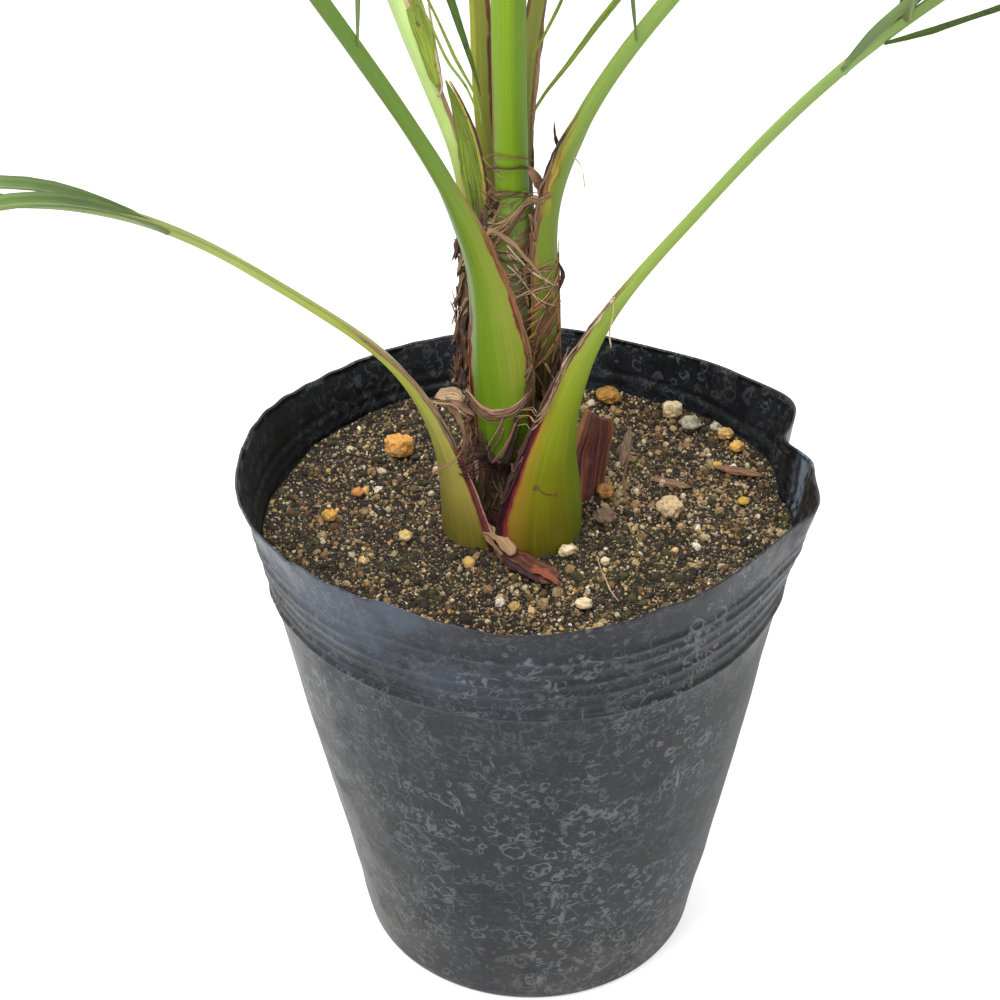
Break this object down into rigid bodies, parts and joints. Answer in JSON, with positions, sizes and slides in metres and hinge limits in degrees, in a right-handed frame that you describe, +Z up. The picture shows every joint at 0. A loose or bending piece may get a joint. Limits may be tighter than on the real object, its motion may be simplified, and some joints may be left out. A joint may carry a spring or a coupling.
{
  "type": "potted canary island date palm",
  "caption": "Young feather palm with arching pinnate fronds from a short fibrous stem, in a thin tapered nursery pot filled with gritty mix.",
  "frame": {"origin": "centre of the pot's flat underside, which stands on z = 0", "axes": "+Z up along the pot's axis; -Y is the front of the plant, +X its right"},
  "size_m": [0.9712, 0.7931, 0.9565],
  "materials": {
    "pot_plastic": "dusty black polythene with dried water marks",
    "potting_mix": "loose sandy mix of grit, pumice and compost",
    "stem_fibre": "brown fibrous sheath remains",
    "leaf_green": "smooth satin leaf stalk and leaflets",
    "young_leaf": "unopened pale green leaf",
    "dry_scale": "dry maroon brown leaf base",
    "pumice": "rough porous pumice",
    "bark": "dry fibrous bark"
  },
  "bodies": {
    "root": {"bark_chip_back": "bark", "bark_chip_right": "bark", "clod_right": "potting_mix", "frond_back_left": "leaf_green", "frond_back_right": "leaf_green", "frond_centre": "leaf_green", "frond_front_left": "leaf_green", "frond_left": "leaf_green", "frond_low_left": "leaf_green", "frond_low_right": "leaf_green", "frond_right": "leaf_green", "nursery_pot": "pot_plastic", "old_scale_front": "dry_scale", "old_scale_right": "dry_scale", "potting_soil": "potting_mix", "pumice_amber_left": "pumice", "pumice_amber_right": "pumice", "pumice_brown_back": "pumice", "pumice_cream_back": "pumice", "pumice_cream_foot": "pumice", "pumice_cream_front": "pumice", "pumice_lump_back": "pumice", "pumice_orange_left": "pumice", "pumice_rust_left": "pumice", "pumice_rust_right": "pumice", "pumice_tan_right": "pumice", "pumice_yellow_left": "pumice", "pumice_yellow_right": "pumice", "root_piece_right": "bark", "spear_leaf": "young_leaf", "stem": "stem_fibre"}
  },
  "joints": []
}
